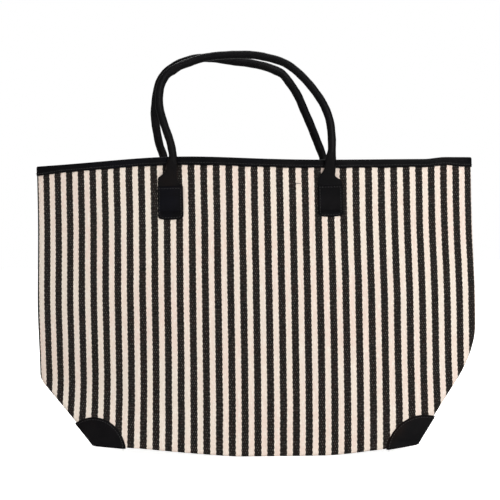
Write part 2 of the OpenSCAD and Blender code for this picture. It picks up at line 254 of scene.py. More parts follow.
# One half of a level cut through a wall, middle to side seam, evenly spaced along the cloth
def halfSection(h, hand, side, count):
    s = np.linspace(0, 1, sectionPoints)
    x = ridgeX(h, hand) * s
    y = wallY(s, h, hand)
    z = wallZ(s * hand, h, side)
    q = np.linspace(0, 1, boxedPoints)[1:]
    x = np.concatenate([x, np.full(len(q), x[-1])])
    y = np.concatenate([y, y[-1] * (1 - q)])
    z = np.concatenate([z, np.full(len(q), z[-1])])
    run = np.concatenate([[0], np.cumsum(np.hypot(np.diff(x), np.diff(y)))])
    step = 0.6 * mm
    even = np.arange(0, run[-1], step)
    even = np.append(even, run[-1])
    x, y, z = (np.interp(even, run, v) for v in (x, y, z))
    reach = int(4 * bag["creaseSoft"] / step)
    kernel = np.exp(-0.5 * (np.arange(-reach, reach + 1) * step / bag["creaseSoft"]) ** 2)
    kernel /= kernel.sum()

    def soften(v, atMiddle, atSeam):     # +1 mirrors the value past that end, -1 mirrors its sign too
        before = atMiddle * v[reach:0:-1]
        after = 2 * v[-1] * (atSeam < 0) + atSeam * v[-2:-reach - 2:-1]
        return np.convolve(np.concatenate([before, v, after]), kernel, "valid")

    x = soften(x, -1, 1)
    y = soften(y, 1, -1)
    fraction = np.linspace(0, 1, count) * even[-1]
    x, y, z = (np.interp(fraction, even, v) for v in (x, y, z))
    fromSeam = even[-1] - fraction
    x -= bag["seamPinch"] * np.exp(-(fromSeam / bag["pinchWidth"]) ** 2)
    return x, y, z, even[-1]


halfColumns = 220
wallRows = 190
aLine = np.linspace(-1, 1, 2 * halfColumns - 1)           # along the cloth, seam to seam
hLine = np.linspace(-bag["fold"], bag["rise"], wallRows)  # up the wall, from the fold under the base


def levelCut(h, side):
    halves = {hand: halfSection(max(h, 0), hand, side, halfColumns) for hand in (-1, 1)}
    x = np.concatenate([-halves[-1][0][:0:-1], halves[1][0]])
    y = np.concatenate([halves[-1][1][:0:-1], halves[1][1]])
    z = np.concatenate([halves[-1][2][:0:-1], halves[1][2]])
    return np.stack([x, side * y, z], 1)


def gridNormals(grid, side):
    along = np.gradient(grid, axis=0)
    rise = np.gradient(grid, axis=1)
    normal = np.cross(along, rise) * -side
    return normal / np.maximum(np.linalg.norm(normal, axis=2, keepdims=True), 1e-12)


softness = {
    "dents": [   # across, up, width, height, depth: soft hollows and swells of the unfilled cloth
        (-0.62, 0.30, 0.20, 0.16, 2.6), (0.55, 0.36, 0.22, 0.18, 2.2), (0.05, 0.55, 0.34, 0.22, -1.6),
        (-0.25, 0.20, 0.22, 0.12, -1.3), (0.30, 0.17, 0.18, 0.10, 1.2), (-0.82, 0.62, 0.10, 0.26, 1.5),
        (0.84, 0.66, 0.10, 0.24, 1.6), (-0.38, 0.78, 0.16, 0.14, 1.0), (0.36, 0.74, 0.18, 0.14, 1.2),
    ],
    "rippleDepth": 0.45,
}


def softDents(side):
    across, up = np.meshgrid(aLine, np.clip(hLine / bag["rise"], 0, 1), indexing="ij")
    depth = np.zeros_like(across)
    flip = 1 if side == front else -1
    for x, z, w, t, amount in softness["dents"]:
        depth += amount * np.exp(-((across - flip * x) / w) ** 2 - ((up - z) / t) ** 2)
    depth += softness["rippleDepth"] * np.sin(across * 9.5 + 2 * up + side) * np.sin(up * 6 + across * 2.3)
    hold = (np.clip(up / 0.18, 0, 1) ** 2 * np.clip((1 - up) / 0.14, 0, 1)
            * np.clip((1 - np.abs(across)) / 0.1, 0, 1))      # none at the fold, the rim or the side seams
    return -depth * mm * hold


def makeWall(side):
    fold = bag["fold"]
    foot = levelCut(0, side)
    lift = levelCut(fold, side)
    sharp = mixed(1, bag["cornerSharp"], smoothStep(np.abs(foot[:, :1]), *bag["sharpOver"]))
    rows = []
    inward = None
    for h in hLine:
        if h >= fold:
            rows.append(levelCut(h, side))
            continue
        if inward is None:
            along = np.gradient(foot, axis=0)
            inward = np.stack([along[:, 1], -along[:, 0], np.zeros(len(foot))], 1) * side
            inward /= np.linalg.norm(inward, axis=1, keepdims=True)
        t = (fold - h) / (2 * fold)
        pull = 2 * t * (1 - t) * sharp
        spot = (1 - t) ** 2 * lift + pull * foot + t * t * (foot + inward * fold)
        rows.append(spot / ((1 - t) ** 2 + pull + t * t))
    grid = np.stack(rows, 1)
    return grid + gridNormals(grid, side) * softDents(side)[..., None]


walls = {side: makeWall(side) for side in (front, back)}
clothRun = {hand: np.array([halfSection(max(h, 0), hand, front, 8)[3] for h in hLine]) for hand in (-1, 1)}
wallNormals = {side: gridNormals(walls[side], side) for side in walls}


# Points on the outside of a wall: a runs -1 to 1 from seam to seam, h is the height up it
def skin(a, h, side, out=0.0):
    a, h, out = np.broadcast_arrays(np.asarray(a, float), np.asarray(h, float), np.asarray(out, float))
    i = np.clip((a - aLine[0]) / (aLine[1] - aLine[0]), 0, len(aLine) - 1.000001)
    j = np.clip((h - hLine[0]) / (hLine[1] - hLine[0]), 0, len(hLine) - 1.000001)
    i0, j0 = i.astype(int), j.astype(int)
    fi, fj = (i - i0)[..., None], (j - j0)[..., None]

    def sample(grid):
        return ((grid[i0, j0] * (1 - fi) + grid[i0 + 1, j0] * fi) * (1 - fj)
                + (grid[i0, j0 + 1] * (1 - fi) + grid[i0 + 1, j0 + 1] * fi) * fj)

    normal = sample(wallNormals[side])
    normal /= np.linalg.norm(normal, axis=-1, keepdims=True)
    return sample(walls[side]) + normal * out[..., None]


halfCloth = 287 * mm      # cloth from the middle of a wall to its side seam, at the rim


# The place on a wall's cloth that lies at x and z
def clothPlace(x, z, side):
    x, z = np.broadcast_arrays(np.asarray(x, float), np.asarray(z, float))
    a = x / bag["rimHalf"]
    h = z * 1.0
    for _ in range(8):
        p = skin(a, h, side)
        a = np.clip(a + (x - p[..., 0]) / halfCloth, -1, 1)
        h = np.clip(h + (z - p[..., 2]), hLine[0], hLine[-1])
    return a, h


stripeRun = {
    "shift": 0.8 * mm,
    "middle": 0.993,          # cloth between two places on the front, over the distance between them
    "atBase": 0.026,          # how much that rises by the base
    "baseReach": 50 * mm,
    "atRim": 0.009,           # and by the rim
    "rimRise": (180 * mm, 300 * mm),
}


# Distance along the cloth from the middle of a wall, as the stripes see it
def clothU(a, h, side):
    a, h = np.asarray(a, float), np.asarray(h, float)
    half = np.where(a < 0, np.interp(h, hLine, clothRun[-1]), np.interp(h, hLine, clothRun[1]))
    if side == back:
        return -a * half
    up = np.clip(h, 0, None)
    boxed = np.where(a < 0, ridgeY(up, -1), ridgeY(up, 1))
    past = np.maximum(0, (np.abs(a) - 1) * half + boxed)      # cloth beyond the corner ridge
    p = skin(a, h, side)
    ratio = (stripeRun["middle"] + stripeRun["atBase"] * np.exp(-p[..., 2] / stripeRun["baseReach"])
             + stripeRun["atRim"] * smoothStep(p[..., 2], *stripeRun["rimRise"]))
    return stripeRun["shift"] + p[..., 0] * ratio + np.sign(a) * past


print("bag walls are shaped")


def addPiece(name, points, faces, material, uv=None):
    mesh = bpy.data.meshes.new(name)
    mesh.from_pydata([tuple(p) for p in np.asarray(points, float).reshape(-1, 3)], [], faces)
    if uv is not None:
        flat = np.asarray(uv, float).reshape(-1, 2)
        layer = mesh.uv_layers.new(name="UVMap")
        index = np.zeros(len(mesh.loops), np.int32)
        mesh.loops.foreach_get("vertex_index", index)
        layer.data.foreach_set("uv", flat[index].astype(np.float32).ravel())
    bm = bmesh.new()
    bm.from_mesh(mesh)
    bmesh.ops.recalc_face_normals(bm, faces=bm.faces)
    bm.to_mesh(mesh)
    bm.free()
    mesh.polygons.foreach_set("use_smooth", [True] * len(mesh.polygons))
    mesh.materials.append(material)
    piece = bpy.data.objects.new(name, mesh)
    bpy.context.scene.collection.objects.link(piece)
    return piece


# Faces of a closed slab between two grids of (across x up) points, outer first
def slabFaces(across, up):
    count = across * up
    i, j = np.meshgrid(np.arange(across - 1), np.arange(up - 1), indexing="ij")
    k = (i * up + j).ravel()
    outer = np.stack([k, k + up, k + up + 1, k + 1], 1)
    inner = outer[:, ::-1] + count
    faces = outer.tolist() + inner.tolist()
    for a in range(across - 1):
        for j0, turn in ((0, 1), (up - 1, -1)):
            p, q = a * up + j0, (a + 1) * up + j0
            faces.append([p, p + count, q + count, q][::turn])
    for b in range(up - 1):
        for i0, turn in ((0, -1), (across - 1, 1)):
            p, q = i0 * up + b, i0 * up + b + 1
            faces.append([p, p + count, q + count, q][::turn])
    return faces


def addSlab(name, outer, inner, material, uv=None):
    across, up = outer.shape[:2]
    both = None if uv is None else np.concatenate([uv.reshape(-1, 2), uv.reshape(-1, 2)])
    return addPiece(name, np.concatenate([outer.reshape(-1, 3), inner.reshape(-1, 3)]),
                    slabFaces(across, up), material, both)


# Skin over a row of closed rings; the ends are capped unless the row closes on itself
def addLoft(name, rings, material, closedPath=False, uv=None):
    count, sides = rings.shape[:2]
    last = count if closedPath else count - 1
    faces = []
    for i in range(last):
        n = (i + 1) % count
        for k in range(sides):
            m = (k + 1) % sides
            faces.append([i * sides + k, i * sides + m, n * sides + m, n * sides + k])
    if not closedPath:
        faces.append(list(range(sides))[::-1])
        faces.append([(count - 1) * sides + k for k in range(sides)])
    return addPiece(name, rings.reshape(-1, 3), faces, material, uv)


def newMaterial(name, roughness, sheen=0.0, specular=0.5):
    material = bpy.data.materials.new(name)
    material.use_nodes = True
    shader = material.node_tree.nodes["Principled BSDF"]
    shader.inputs["Roughness"].default_value = roughness
    shader.inputs["Sheen Weight"].default_value = sheen
    shader.inputs["Sheen Roughness"].default_value = 0.5
    shader.inputs["Specular IOR Level"].default_value = specular
    return material, shader


# Short names for the nodes that the materials use
class Wiring:
    def __init__(self, material):
        self.tree = material.node_tree

    def put(self, socket, value):
        if isinstance(value, bpy.types.NodeSocket):
            self.tree.links.new(value, socket)
        else:
            socket.default_value = value

    def math(self, operation, a, b=0.0):
        node = self.tree.nodes.new("ShaderNodeMath")
        node.operation = operation
        for socket, value in zip(node.inputs, (a, b)):
            self.put(socket, value)
        return node.outputs[0]

    def coords(self, kind="Object"):
        return self.tree.nodes.new("ShaderNodeTexCoord").outputs[kind]

    def split(self, vector):
        node = self.tree.nodes.new("ShaderNodeSeparateXYZ")
        self.put(node.inputs[0], vector)
        return node.outputs

    def join(self, x, y, z=0.0):
        node = self.tree.nodes.new("ShaderNodeCombineXYZ")
        for socket, value in zip(node.inputs, (x, y, z)):
            self.put(socket, value)
        return node.outputs[0]

    def noise(self, vector, scale, detail=3.0, roughness=0.55):
        node = self.tree.nodes.new("ShaderNodeTexNoise")
        self.put(node.inputs["Vector"], vector)
        self.put(node.inputs["Scale"], scale)
        self.put(node.inputs["Detail"], detail)
        self.put(node.inputs["Roughness"], roughness)
        return node.outputs["Fac"]

    def cellEdge(self, vector, scale):
        node = self.tree.nodes.new("ShaderNodeTexVoronoi")
        node.feature = "DISTANCE_TO_EDGE"
        self.put(node.inputs["Vector"], vector)
        self.put(node.inputs["Scale"], scale)
        return node.outputs["Distance"]

    def blend(self, factor, a, b):
        node = self.tree.nodes.new("ShaderNodeMix")
        node.data_type = "RGBA"
        self.put(node.inputs[0], factor)
        self.put(node.inputs[6], a)
        self.put(node.inputs[7], b)
        return node.outputs[2]

    def band(self, value, low, high, toLow=0.0, toHigh=1.0):
        node = self.tree.nodes.new("ShaderNodeMapRange")
        node.interpolation_type = "SMOOTHSTEP"
        for socket, number in zip(node.inputs, (value, low, high, toLow, toHigh)):
            self.put(socket, number)
        return node.outputs[0]

    def bump(self, height, distance, strength):
        node = self.tree.nodes.new("ShaderNodeBump")
        self.put(node.inputs["Height"], height)
        node.inputs["Distance"].default_value = distance
        node.inputs["Strength"].default_value = strength
        return node.outputs[0]


weave = {
    "pitch": 15.85 * mm,      # one black and one cream stripe
    "start": 1.4 * mm,        # where the middle black stripe begins
    "pick": 2.93 * mm,        # height of one row of the weave
    "yarns": 12,              # yarns in one pitch
    "scallop": 0.017,         # sideways step of a stripe's edge from row to row, in pitches
    "blackHalf": (0.263, 0.289),      # half a black stripe in pitches: solid, then gone
    "cream": (0.785, 0.688, 0.592, 1),
    "creamWarm": (0.79, 0.635, 0.552, 1),
    "creamPale": (0.85, 0.775, 0.685, 1),
    # painted shade: the colour the cream takes in the hollows between the yarns
    "creamShade": (0.50, 0.42, 0.35, 1),
    "black": (0.0068, 0.0062, 0.0054, 1),
    "blackWarm": (0.0150, 0.0086, 0.0070, 1),
    # painted highlight: light flecks on the crowns of the black yarns
    "crownHighlight": (0.105, 0.098, 0.088, 1),
}


def canvasMaterial():
    material, shader = newMaterial("stripedCanvas", 0.88, sheen=0.03, specular=0.12)
    w = Wiring(material)
    u, v, _ = w.split(w.coords("UV"))
    cloth = w.join(u, v)
    row = w.math("DIVIDE", v, weave["pick"])
    wobble = w.math("MULTIPLY", w.math("SUBTRACT", w.noise(cloth, 26.0, 1.0), 0.5), 0.05)
    fine = w.math("MULTIPLY", w.math("SUBTRACT", w.noise(cloth, 420.0, 2.0), 0.5), 0.045)
    step = w.math("MULTIPLY", w.math("SINE", w.math("MULTIPLY", row, math.pi)), weave["scallop"])
    place = w.math("DIVIDE", w.math("SUBTRACT", u, weave["start"]), weave["pitch"])
    edge = w.math("ADD", w.math("ADD", place, step), w.math("ADD", wobble, fine))
    fromBlack = w.math("ABSOLUTE", w.math("SUBTRACT", w.math("FRACT", w.math("ADD", edge, 0.25)), 0.5))
    isBlack = w.band(fromBlack, *weave["blackHalf"], 1.0, 0.0)
    across = w.math("SINE", w.math("MULTIPLY", w.math("ADD", place, wobble), math.pi * weave["yarns"]))
    upward = w.math("SINE", w.math("MULTIPLY", row, math.pi))
    weaveSign = w.math("MULTIPLY", across, upward)
    warp = w.math("POWER", w.math("MAXIMUM", weaveSign, 0.0), 0.7)
    under = w.math("MAXIMUM", w.math("MULTIPLY", weaveSign, -1.0), 0.0)
    weft = w.math("MULTIPLY", w.math("POWER", under, 0.7), 0.6)
    relief = w.math("ADD", warp, weft)
    yarnTone = w.noise(w.join(w.math("MULTIPLY", u, 5.0), v), 95.0, 3.0, 0.6)
    patchTone = w.noise(cloth, 9.0, 2.0)
    cream = w.blend(w.band(patchTone, 0.35, 0.65), weave["creamWarm"], weave["cream"])
    cream = w.blend(w.band(yarnTone, 0.45, 0.72), cream, weave["creamPale"])
    # painted shade: the cream darkens where the weave relief is low, between the yarns
    gap = w.math("MULTIPLY", w.math("SUBTRACT", 1.0, relief), 0.22)
    cream = w.blend(gap, cream, weave["creamShade"])
    black = w.blend(w.band(yarnTone, 0.40, 0.66), weave["black"], weave["blackWarm"])
    # painted highlight: the black stripes lighten in noisy flecks on the raised warp crowns
    glint = w.math("MULTIPLY", w.band(warp, 0.50, 0.95), w.band(w.noise(cloth, 300.0, 1.0), 0.36, 0.62))
    black = w.blend(glint, black, weave["crownHighlight"])
    w.put(shader.inputs["Base Color"], w.blend(isBlack, cream, black))
    fuzz = w.math("MULTIPLY", w.noise(cloth, 1500.0, 3.0), 0.35)
    w.put(shader.inputs["Normal"], w.bump(w.math("ADD", relief, fuzz), 0.35 * mm, 0.8))
    return material


leatherSet = {
    "deep": (0.0012, 0.0011, 0.0016, 1),
    "worn": (0.0040, 0.0034, 0.0040, 1),
    "brown": (0.0125, 0.0062, 0.0036, 1),
    # painted sheen: a bluish reflection tint for the trim leather
    "blueSheen": (0.0040, 0.0046, 0.0100, 1),
    "grain": 950.0,
}


def leatherMaterial(name, roughness, brown, specular, tone="brown"):
    material, shader = newMaterial(name, roughness, specular=specular)
    w = Wiring(material)
    place = w.coords()
    cloud = w.noise(place, 22.0, 4.0)
    colour = w.blend(w.band(cloud, 0.42, 0.72), leatherSet["deep"], leatherSet["worn"])
    # on handle and guard leather this noise lays real brown wear; on the trim leather it lays a painted
    # bluish sheen, and brown sets how strong it is
    wearAndSheen = w.math("MULTIPLY", w.band(w.noise(place, 9.0, 5.0, 0.65), 0.52, 0.74), brown)
    colour = w.blend(wearAndSheen, colour, leatherSet[tone])
    cells = w.cellEdge(place, leatherSet["grain"])
    pores = w.band(cells, 0.0, 0.09)
    colour = w.blend(w.math("MULTIPLY", w.math("SUBTRACT", 1.0, pores), 0.5), colour, leatherSet["deep"])
    w.put(shader.inputs["Base Color"], colour)
    rough = w.math("ADD", w.math("MULTIPLY", w.noise(place, 60.0, 3.0), 0.26), roughness - 0.13)
    w.put(shader.inputs["Roughness"], rough)
    crease = w.noise(place, 210.0, 4.0, 0.6)
    height = w.math("ADD", w.math("MULTIPLY", pores, 0.5), crease)
    w.put(shader.inputs["Normal"], w.bump(height, 0.22 * mm, 0.55))
    return material


def plainClothMaterial(name, light, dark, thread):
    material, shader = newMaterial(name, 0.9, sheen=0.1, specular=0.2)
    w = Wiring(material)
    x, y, z = w.split(w.coords())
    along = w.math("SINE", w.math("MULTIPLY", w.math("ADD", x, y), math.tau / thread))
    up = w.math("SINE", w.math("MULTIPLY", w.math("ADD", z, y), math.tau / thread))
    check = w.math("MULTIPLY", along, up)
    tone = w.noise(w.coords(), 130.0, 4.0)
    w.put(shader.inputs["Base Color"], w.blend(w.band(tone, 0.35, 0.7), dark, light))
    height = w.math("ADD", check, w.noise(w.coords(), 900.0, 2.0))
    w.put(shader.inputs["Normal"], w.bump(height, 0.12 * mm, 0.6))
    return material


def suedeMaterial(name, light, dark):
    material, shader = newMaterial(name, 0.93, sheen=0.25, specular=0.2)
    w = Wiring(material)
    place = w.coords()
    tone = w.noise(place, 160.0, 5.0, 0.7)
    w.put(shader.inputs["Base Color"], w.blend(w.band(tone, 0.3, 0.7), dark, light))
    w.put(shader.inputs["Normal"], w.bump(w.noise(place, 1400.0, 3.0), 0.15 * mm, 0.7))
    return material


canvas = canvasMaterial()
handleLeather = leatherMaterial("handleLeather", 0.40, 0.30, 0.085)
# the trim's tone patches are a painted bluish sheen
trimLeather = leatherMaterial("trimLeather", 0.44, 0.45, 0.060, "blueSheen")
guardLeather = leatherMaterial("guardLeather", 0.48, 0.85, 0.060)
liningCloth = plainClothMaterial("liningCotton", (0.62, 0.54, 0.43, 1), (0.50, 0.43, 0.34, 1), 1.1 * mm)
fillerCotton = plainClothMaterial("fillerCotton", (0.66, 0.58, 0.43, 1), (0.50, 0.42, 0.29, 1), 1.6 * mm)
backingSuede = suedeMaterial("backingSuede", (0.20, 0.115, 0.065, 1), (0.12, 0.065, 0.036, 1))
boardFibre = suedeMaterial("boardFibre", (0.22, 0.215, 0.21, 1), (0.12, 0.12, 0.12, 1))
threadWaxed = suedeMaterial("threadWaxed", (0.022, 0.021, 0.021, 1), (0.010, 0.0095, 0.0095, 1))
print("materials are made")


clothSet = {
    "canvas": 1.6 * mm,
    "lining": 0.5 * mm,
    "underLining": 1.85 * mm,     # from the outside of the canvas to the lining
    "canvasTop": 1.7 * mm,        # the canvas stops this far below the top of the binding
    "columns": 150,
    "rows": 96,
}
throughWall = clothSet["underLining"] + clothSet["lining"]     # outside of the canvas to the room inside


def wallSheet(name, side, low, outA, outB, material):
    a = np.linspace(-1, 1, clothSet["columns"])
    h = np.linspace(low, bag["rise"] - clothSet["canvasTop"], clothSet["rows"])
    across, up = np.meshgrid(a, h, indexing="ij")
    uv = np.stack([clothU(across, up, side), up], 2)
    return addSlab(name, skin(across, up, side, outA), skin(across, up, side, outB), material, uv)


def baseSheet(name, inset, low, high, material, columns=90, rows=36):
    s = np.linspace(-1, 1, columns)
    q = np.linspace(-1, 1, rows)
    across, deep = np.meshgrid(s, q, indexing="ij")
    half = bag["baseHalf"] - inset
    edge = bag["baseDepth"] / 2 + bag["baseBulge"] * (1 - np.abs(across) ** bag["crown"]) - inset
    x, y = across * half, deep * edge
    z = baseZ(x)
    outer = np.stack([x, y, z + low], 2)
    inner = np.stack([x, y, z + high], 2)
    return addSlab(name, outer, inner, material, np.stack([x, y], 2))


def makeCloth():
    for side, word in ((front, "front"), (back, "back")):
        wall = wallSheet(word + "_canvas", side, hLine[0], 0, -clothSet["canvas"], canvas)
        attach(wall, "bag")
        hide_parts(word + "_panel")
        inside = clothSet["underLining"]
        face = -inside - clothSet["lining"]
        lining = wallSheet(word + "_lining_cloth", side, 3 * mm, -inside, face, liningCloth)
        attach(lining, "bag")
        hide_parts(word + "_lining")
    base = baseSheet("base_canvas", bag["fold"] + 0.1 * mm, 0, clothSet["canvas"], canvas)
    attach(base, "bag")
    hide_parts("base_panel")
    floorLining = baseSheet("base_lining_cloth", 5.5 * mm, 3.5 * mm, 4.0 * mm, liningCloth)
    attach(floorLining, "bag")
    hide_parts("base_lining")


makeCloth()
board = baseSheet("base_board", 8 * mm, 1.8 * mm, 3.3 * mm, boardFibre)
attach(board, "bag")
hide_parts("base_stiffener")
print("canvas and lining are made")


bindingSet = {
    "leaf": 11 * mm,            # how far the tape reaches down a wall
    "thick": 1.25 * mm,
    "groove": 2.9 * mm,         # the stitch line above the tape's lower edge
    "edgeShift": (1.0 * mm, -1.2 * mm),      # how much higher that edge sits along the rim and at its ends
    "shiftAt": (0.84, 0.95),
    "stations": 200,
    "endSwell": {-1: -1.2 * mm, 1: -0.5 * mm},    # the tape is drawn in tight where it turns the seam
}


def bindingProfile():
    leaf, thick = bindingSet["leaf"], bindingSet["thick"]
    inside = throughWall + 0.15 * mm
    outer = 0.15 * mm
    half = [
        (outer, -leaf + 0.3 * mm), (outer + 0.35 * thick, -leaf),
        (outer + 0.8 * thick, -leaf + 0.1 * mm),
        (outer + 1.1 * thick, -leaf + 0.9 * mm), (outer + 1.12 * thick, -leaf + 2.2 * mm),
        (outer + 1.0 * thick, -leaf + bindingSet["groove"]), (outer + 1.05 * thick, -leaf * 0.5),
        (outer + 1.0 * thick, -1.7 * mm), (outer + 0.72 * thick, -0.6 * mm),
        (outer + 0.1 * thick, -0.05 * mm),
    ]
    middle = (outer - inside) / 2
    other = [(2 * middle - out, up) for out, up in half[::-1]]
    pocket = [(-inside, -1.75 * mm), (outer, -1.75 * mm)]
    return half + [(middle, 0.12 * mm)] + other + pocket


# How much higher the tape's lower edge sits along the rim than at its ends
def leafShift(a):
    return mixed(*bindingSet["edgeShift"], smoothStep(np.abs(a), *bindingSet["shiftAt"]))


def makeBinding():
    count = bindingSet["stations"]
    a = np.linspace(-1, 1, count)
    rings = []
    for side, line in ((front, a), (back, a[::-1][1:-1])):
        for value in line:
            tight = bindingSet["endSwell"][-1 if value < 0 else 1]
            swell = tight * math.exp(-((1 - abs(value)) / 0.018) ** 2)
            wave = 0.25 * mm * math.sin(value * 31 + side) + 0.2 * mm * math.sin(value * 73)
            wave += leafShift(value)
            ring = []
            for out, up in bindingProfile():
                grow = swell if out > -1.2 * mm else 0
                drop = wave if up < -5 * mm else 0
                p = skin(value, bag["rise"] + min(up, 0), side, out + grow)
                p = p + np.array([0, 0, max(up, 0) + drop])
                ring.append(p)
            rings.append(ring)
    piece = addLoft("rim_tape", np.array(rings), trimLeather, closedPath=True)
    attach(piece, "bag")
    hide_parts("rim_binding")


makeBinding()
print("rim binding is made")


guardSet = {
    "radius": 36 * mm,
    # reach along the base's long edge, up the corner ridge, and along the base's short edge
    "stretch": {-1: (1.07, 0.935, 1.0), 1: (1.0, 1.0, 1.0)},
    "waist": 0.92,              # reach in the middle of a face, and how much more at its creases
    "waistMore": 0.13,
    "creaseReach": 2.5 * mm,
    "tip": 2 * mm,              # closer to the corner than this, all three faces share one direction
    "stitchIn": 3 * mm,
    "gap": 0.5 * mm,
    "thick": 1.3 * mm,
    "steps": 96,
    "rings": 16,
}


# A point on the hard corner: 0 to 90 on the wall, to 180 on the boxed side, to 270 under the base
def guardPoint(hand, side, r, turn):
    face = max(0, min(2, math.ceil(turn / 90) - 1))
    t = turn / 90 - face
    ends = guardSet["stretch"][hand]
    reach = r * (guardSet["waist"] + guardSet["waistMore"] * (2 * t - 1) ** 2)
    reach *= mixed(ends[face], ends[(face + 1) % 3], t)
    lean = math.atan((bag["rimHalf"] - bag["baseHalf"]) / bag["knee"][hand])
    deep = bag["baseDepth"] / 2
    if face == 0:
        x = bag["baseHalf"] - reach * math.cos(t * (math.pi / 2 + lean))
        h = reach * math.sin(t * (math.pi / 2 + lean))
        s = min(1, x / ridgeX(h, hand))
        return [hand * x, side * wallY(s, h, hand), float(wallZ(hand * s, h, side))]
    if face == 1:
        up = reach * math.cos(lean)
        across = up * (deep - bag["sideHalf"]) / bag["knee"][hand]
        angle = math.atan2(up, across) * (1 - t)
        span = mixed(math.hypot(up, across), reach, t)
        h = span * math.sin(angle)
        return [hand * ridgeX(h, hand), side * (deep - span * math.cos(angle)), float(wallZ(hand, h, side))]
    x = bag["baseHalf"] - reach * math.sin(t * math.pi / 2)
    edge = deep + bag["baseBulge"] * (1 - (x / bag["baseHalf"]) ** bag["crown"])
    return [hand * x, side * (edge - reach * math.cos(t * math.pi / 2)), float(baseZ(hand * x))]


# Outward direction, turning smoothly from face to face near the creases
def guardOut(hand, side, turn, r):
    faces = [np.array([0, side, 0.0]), np.array([hand, 0, 0.0]), np.array([0, 0, -1.0])]
    total = np.zeros(3)
    for k, centre in enumerate((45, 135, 225)):
        away = abs((turn - centre + 135) % 270 - 135)
        reach = 45 + math.degrees(guardSet["creaseReach"] / max(r, guardSet["creaseReach"]))
        total += faces[k] * (1 if away < 45 else max(0, (reach - away) / (reach - 45)))
    if r < guardSet["tip"]:
        total = sum(faces)
    return np.clip(total, -1, 1)


def guardShell(hand, side, lift):
    steps, rings = guardSet["steps"], guardSet["rings"]
    points = [guardPoint(hand, side, 0, 0) + guardOut(hand, side, 0, 0) * lift(0)]
    for j in range(1, rings + 1):
        r = guardSet["radius"] * j / rings
        for i in range(steps):
            turn = 270 * i / steps
            out = guardOut(hand, side, turn, r) * lift(j / rings)
            points.append(np.array(guardPoint(hand, side, r, turn)) + out)
    return np.array(points)


def makeGuard(hand, side, name):
    steps, rings = guardSet["steps"], guardSet["rings"]
    gap, thick = guardSet["gap"], guardSet["thick"]
    outer = guardShell(hand, side, lambda t: gap + thick * (1 - 0.75 * max(0, (t - 0.93) / 0.07) ** 2))
    inner = guardShell(hand, side, lambda t: gap)
    layer = 1 + steps * rings

    def spot(i, j):
        return 1 + (j - 1) * steps + i % steps

    top = [[0, spot(i, 1), spot(i + 1, 1)] for i in range(steps)]
    top += [[spot(i, j), spot(i, j + 1), spot(i + 1, j + 1), spot(i + 1, j)]
            for j in range(1, rings) for i in range(steps)]
    faces = top + [[layer + k for k in f[::-1]] for f in top]
    faces += [[spot(i, rings), layer + spot(i, rings), layer + spot(i + 1, rings), spot(i + 1, rings)]
              for i in range(steps)]
    piece = addPiece(name, np.concatenate([outer, inner]), faces, guardLeather)
    bm = bmesh.new()
    bm.from_mesh(piece.data)
    bm.verts.ensure_lookup_table()
    bmesh.ops.smooth_vert(bm, verts=bm.verts[:layer - steps], factor=0.5,
                          use_axis_x=True, use_axis_y=True, use_axis_z=True)
    bm.to_mesh(piece.data)
    bm.free()
    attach(piece, "bag")
    return piece


for side, sideWord in ((front, "front"), (back, "back")):
    for hand, handWord in ((-1, "left"), (1, "right")):
        guard = makeGuard(hand, side, f"guard_{sideWord}_{handWord}")
        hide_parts(f"corner_guard_{sideWord}_{handWord}")
print("corner guards are made")


handleSet = {
    "radius": 5 * mm,
    "tabThick": 1.1 * mm,         # half of the flattened end's thickness
    "fold": 337 * mm,
    "flare": 25 * mm,
    "feet": {      # extra half width of the neck, half width of the flat end, heights over which it widens
        -1: {"outer": (3.5, 17.6, 340, 353), "inner": (0.6, 13.0, 332, 346)},
        1: {"outer": (1.6, 15.2, 334, 342), "inner": (2.4, 15.0, 338, 350)},
    },
    "swell": {"front": 1.03, "back": 1.10},        # how much fatter than its cover each roll is
    "kinks": {"front": [(-97, 480, 1.2)], "back": [(31, 481, 1.0)]},    # tight folds on the inside of a bend
    "kinkSize": 6 * mm,
    "neckOver": (359 * mm, 374 * mm),
    "swellOver": (362 * mm, 385 * mm),
    "sides": 28,
    "patchTop": {-1: 333 * mm, 1: 330.6 * mm},
    "tabDrop": 32 * mm,
    "front": [
        (-99, -40.2, 337), (-98, -41.5, 345), (-97, -43.5, 355), (-96, -44, 366), (-97, -43.5, 376),
        (-100, -41, 390), (-106, -37, 407), (-111, -33, 423), (-114, -30, 438), (-113, -25, 458),
        (-106, -21, 474), (-93, -19, 484), (-75, -17, 491), (-54, -16, 497), (-27, -16, 499),
        (1, -16, 498.5), (21, -16, 495), (42, -18, 488), (57, -20, 478), (72, -24, 462.5),
        (85, -28, 445), (94, -32, 429), (100, -36, 411), (102, -40, 392), (102, -43.5, 376),
        (101, -44, 366), (100, -43.5, 355), (99, -41.5, 345), (99, -40.2, 337),
    ],
    "back": [
        (-108, 40.2, 337), (-111, 41.5, 345), (-114, 43.5, 355), (-117, 44, 368), (-120, 43, 380),
        (-124, 40, 393), (-127, 35, 414), (-128, 31, 430), (-126, 27, 447), (-122, 23, 465),
        (-115, 20, 479), (-102, 18, 490), (-86, 16, 497), (-67, 16, 501), (-46, 16, 500),
        (-24, 16, 496), (0, 17, 492.5), (22, 18, 487), (39, 20, 479.5), (49, 22, 468),
        (60, 27, 451), (68, 31, 432), (76, 35, 413), (84, 40, 392), (90, 43, 376),
        (93, 44, 366), (94, 43.5, 355), (95, 41.5, 345), (96, 40.2, 337),
    ],
}


def smoothRoute(points, parts):
    p = np.asarray(points, float) * mm
    p = np.concatenate([[2 * p[0] - p[1]], p, [2 * p[-1] - p[-2]]])
    out = []
    for i in range(1, len(p) - 2):
        for k in range(parts):
            t = k / parts
            out.append(0.5 * (2 * p[i] + (p[i + 1] - p[i - 1]) * t
                              + (2 * p[i - 1] - 5 * p[i] + 4 * p[i + 1] - p[i + 2]) * t * t
                              + (3 * p[i] - p[i - 1] - 3 * p[i + 1] + p[i + 2]) * t ** 3))
    out.append(p[-2])
    return np.array(out)


